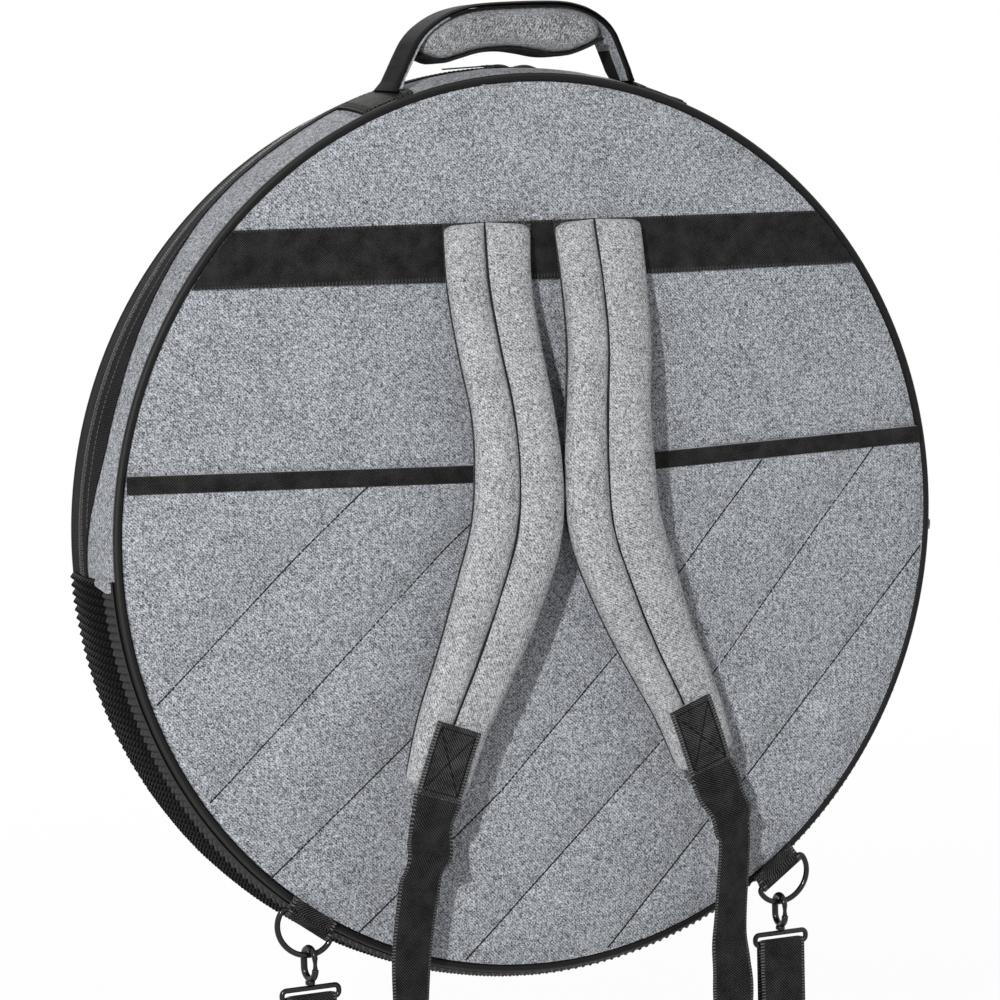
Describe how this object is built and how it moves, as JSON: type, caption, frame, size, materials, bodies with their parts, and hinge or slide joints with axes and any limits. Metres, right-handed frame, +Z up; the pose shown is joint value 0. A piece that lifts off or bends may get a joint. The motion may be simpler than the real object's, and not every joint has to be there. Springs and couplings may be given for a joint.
{
  "type": "cymbal bag",
  "caption": "Round padded cymbal bag with a zipped front flap, top carry handle, clipped shoulder straps, a back slip pocket and a rubber base strip.",
  "frame": {"origin": "under the middle of the carry handle's grip", "axes": "+Z up along the bag, -Y to the strap side that lies against the wearer's back, +Y to the front with the flap, +X to the right seen from the strap side"},
  "size_m": [0.6042, 0.1329, 0.8205],
  "materials": {
    "heather_cloth": "heather light grey woven polyester",
    "pad_cloth": "grey woven cloth over foam",
    "black_webbing": "black herringbone webbing",
    "black_cloth": "black woven cloth",
    "black_piping": "black covered cord",
    "foam_board": "firm foam padding",
    "lining_cloth": "smooth black lining",
    "black_rubber": "black rubber with small pyramid studs",
    "nylon_coil": "black nylon coil",
    "black_metal": "glossy black enamel on metal"
  },
  "bodies": {
    "shell": {"back_panel": "heather_cloth", "back_foam": "foam_board", "back_lining": "lining_cloth", "back_webbing_band": "black_webbing", "pocket_panel": "heather_cloth", "pocket_binding": "black_webbing", "back_piping": "black_piping", "wall_back_strip": "heather_cloth", "zip_flange": "black_cloth", "zip_coil_back": "nylon_coil", "wall_bottom": "black_cloth", "rubber_base": "black_rubber", "lower_front_panel": "heather_cloth", "lower_front_foam": "foam_board", "lower_front_lining": "lining_cloth", "lower_front_piping": "black_piping", "handle_patch_left": "black_webbing", "handle_patch_right": "black_webbing", "handle_root_left": "black_webbing", "handle_root_right": "black_webbing", "strap_webbing_left": "black_webbing", "strap_webbing_right": "black_webbing", "ring_tab_left": "black_webbing", "ring_tab_right": "black_webbing"},
    "flap": {"flap_panel": "heather_cloth", "flap_foam": "foam_board", "flap_lining": "lining_cloth", "flap_piping": "black_piping", "flap_wall": "black_cloth", "zip_coil_front": "nylon_coil"},
    "slider_left": {"zip_slider_left": "black_metal"},
    "slider_right": {"zip_slider_right": "black_metal"},
    "pull_left": {"zip_pull_left": "black_metal"},
    "pull_right": {"zip_pull_right": "black_metal"},
    "handle": {"handle_webbing": "black_webbing", "handle_lining": "heather_cloth", "handle_grip": "pad_cloth", "grip_binding": "black_webbing"},
    "pad_left": {"shoulder_pad_left": "pad_cloth", "pad_backing_left": "black_cloth", "pad_seam_left": "black_piping", "pad_tab_left": "black_webbing"},
    "ring_left": {"d_ring_left": "black_metal"},
    "eye_left": {"hook_eye_left": "black_metal", "hook_webbing_left": "black_webbing"},
    "hook_left": {"snap_hook_left": "black_metal"},
    "gate_left": {"hook_gate_left": "black_metal"},
    "adjuster_left": {"strap_adjuster_left": "black_metal"},
    "pad_right": {"shoulder_pad_right": "pad_cloth", "pad_backing_right": "black_cloth", "pad_seam_right": "black_piping", "pad_tab_right": "black_webbing"},
    "ring_right": {"d_ring_right": "black_metal"},
    "eye_right": {"hook_eye_right": "black_metal", "hook_webbing_right": "black_webbing"},
    "hook_right": {"snap_hook_right": "black_metal"},
    "gate_right": {"hook_gate_right": "black_metal"},
    "adjuster_right": {"strap_adjuster_right": "black_metal"}
  },
  "joints": [
    {"name": "flap_hinge", "type": "hinge", "parent": "shell", "child": "flap", "pos_m": [0.00868, 0.0661, -0.32655], "axis": [-1, 0, 0], "range_deg": [0, 150]},
    {"name": "slider_left_run", "type": "hinge", "parent": "shell", "child": "slider_left", "pos_m": [0.00868, 0.031, -0.31088], "axis": [0, -1, 0], "range_deg": [0, 85]},
    {"name": "slider_right_run", "type": "hinge", "parent": "shell", "child": "slider_right", "pos_m": [0.00868, 0.031, -0.31088], "axis": [0, 1, 0], "range_deg": [0, 84]},
    {"name": "pull_left_flip", "type": "hinge", "parent": "slider_left", "child": "pull_left", "pos_m": [-0.00024, 0.031, -0.00906], "axis": [0, 1, 0], "range_deg": [0, 120]},
    {"name": "pull_right_flip", "type": "hinge", "parent": "slider_right", "child": "pull_right", "pos_m": [0.03297, 0.03788, -0.00999], "axis": [0.8174, -0.5736, -0.0529], "range_deg": [0, 100]},
    {"name": "handle_swing", "type": "hinge", "parent": "shell", "child": "handle", "pos_m": [0.00063, 0, -0.02242], "axis": [0.9996, 0, 0.0279], "range_deg": [-14, 30], "stiffness_Nm_per_rad": 0.25, "deforming": ["handle_root_left", "handle_root_right"]},
    {"name": "pad_left_swing", "type": "hinge", "parent": "shell", "child": "pad_left", "pos_m": [0.00868, -0.0237, -0.10988], "axis": [-1, 0, 0], "range_deg": [0, 20], "deforming": ["strap_webbing_left"]},
    {"name": "ring_left_swing", "type": "hinge", "parent": "shell", "child": "ring_left", "pos_m": [-0.16795, -0.0265, -0.55399], "axis": [0.809, 0, -0.5878], "range_deg": [-15, 15]},
    {"name": "eye_left_hang", "type": "hinge", "parent": "ring_left", "child": "eye_left", "pos_m": [-0.16748, -0.0265, -0.57474], "axis": [1, 0, 0], "range_deg": [-13, 13]},
    {"name": "hook_left_swivel", "type": "hinge", "parent": "eye_left", "child": "hook_left", "pos_m": [-0.16748, -0.0265, -0.57474], "axis": [0, 0, 1], "range_deg": [-40, 20]},
    {"name": "gate_left_open", "type": "hinge", "parent": "hook_left", "child": "gate_left", "pos_m": [-0.16631, -0.03315, -0.58264], "axis": [-0.9848, -0.1736, 0], "range_deg": [0, 20], "stiffness_Nm_per_rad": 0.02},
    {"name": "adjuster_left_slide", "type": "slide", "parent": "eye_left", "child": "adjuster_left", "axis": [0, 0, 1], "range_m": [-0.005, 0.03]},
    {"name": "pad_right_swing", "type": "hinge", "parent": "shell", "child": "pad_right", "pos_m": [0.00868, -0.0237, -0.10988], "axis": [-1, 0, 0], "range_deg": [0, 20], "deforming": ["strap_webbing_right"]},
    {"name": "ring_right_swing", "type": "hinge", "parent": "shell", "child": "ring_right", "pos_m": [0.17846, -0.0265, -0.55883], "axis": [0.8251, 0, 0.565], "range_deg": [-15, 15]},
    {"name": "eye_right_hang", "type": "hinge", "parent": "ring_right", "child": "eye_right", "pos_m": [0.17796, -0.0265, -0.57957], "axis": [1, 0, 0], "range_deg": [-13, 13]},
    {"name": "hook_right_swivel", "type": "hinge", "parent": "eye_right", "child": "hook_right", "pos_m": [0.17796, -0.0265, -0.57957], "axis": [0, 0, 1], "range_deg": [-30, 30]},
    {"name": "gate_right_open", "type": "hinge", "parent": "hook_right", "child": "gate_right", "pos_m": [0.17796, -0.03325, -0.58747], "axis": [-1, 0, 0], "range_deg": [0, 20], "stiffness_Nm_per_rad": 0.02},
    {"name": "adjuster_right_slide", "type": "slide", "parent": "eye_right", "child": "adjuster_right", "axis": [0, 0, 1], "range_m": [-0.005, 0.03]}
  ],
  "couplings": [
    {"joint": "eye_left_hang", "follows": "ring_left_swing", "ratio": -0.82},
    {"joint": "eye_right_hang", "follows": "ring_right_swing", "ratio": -0.82}
  ]
}
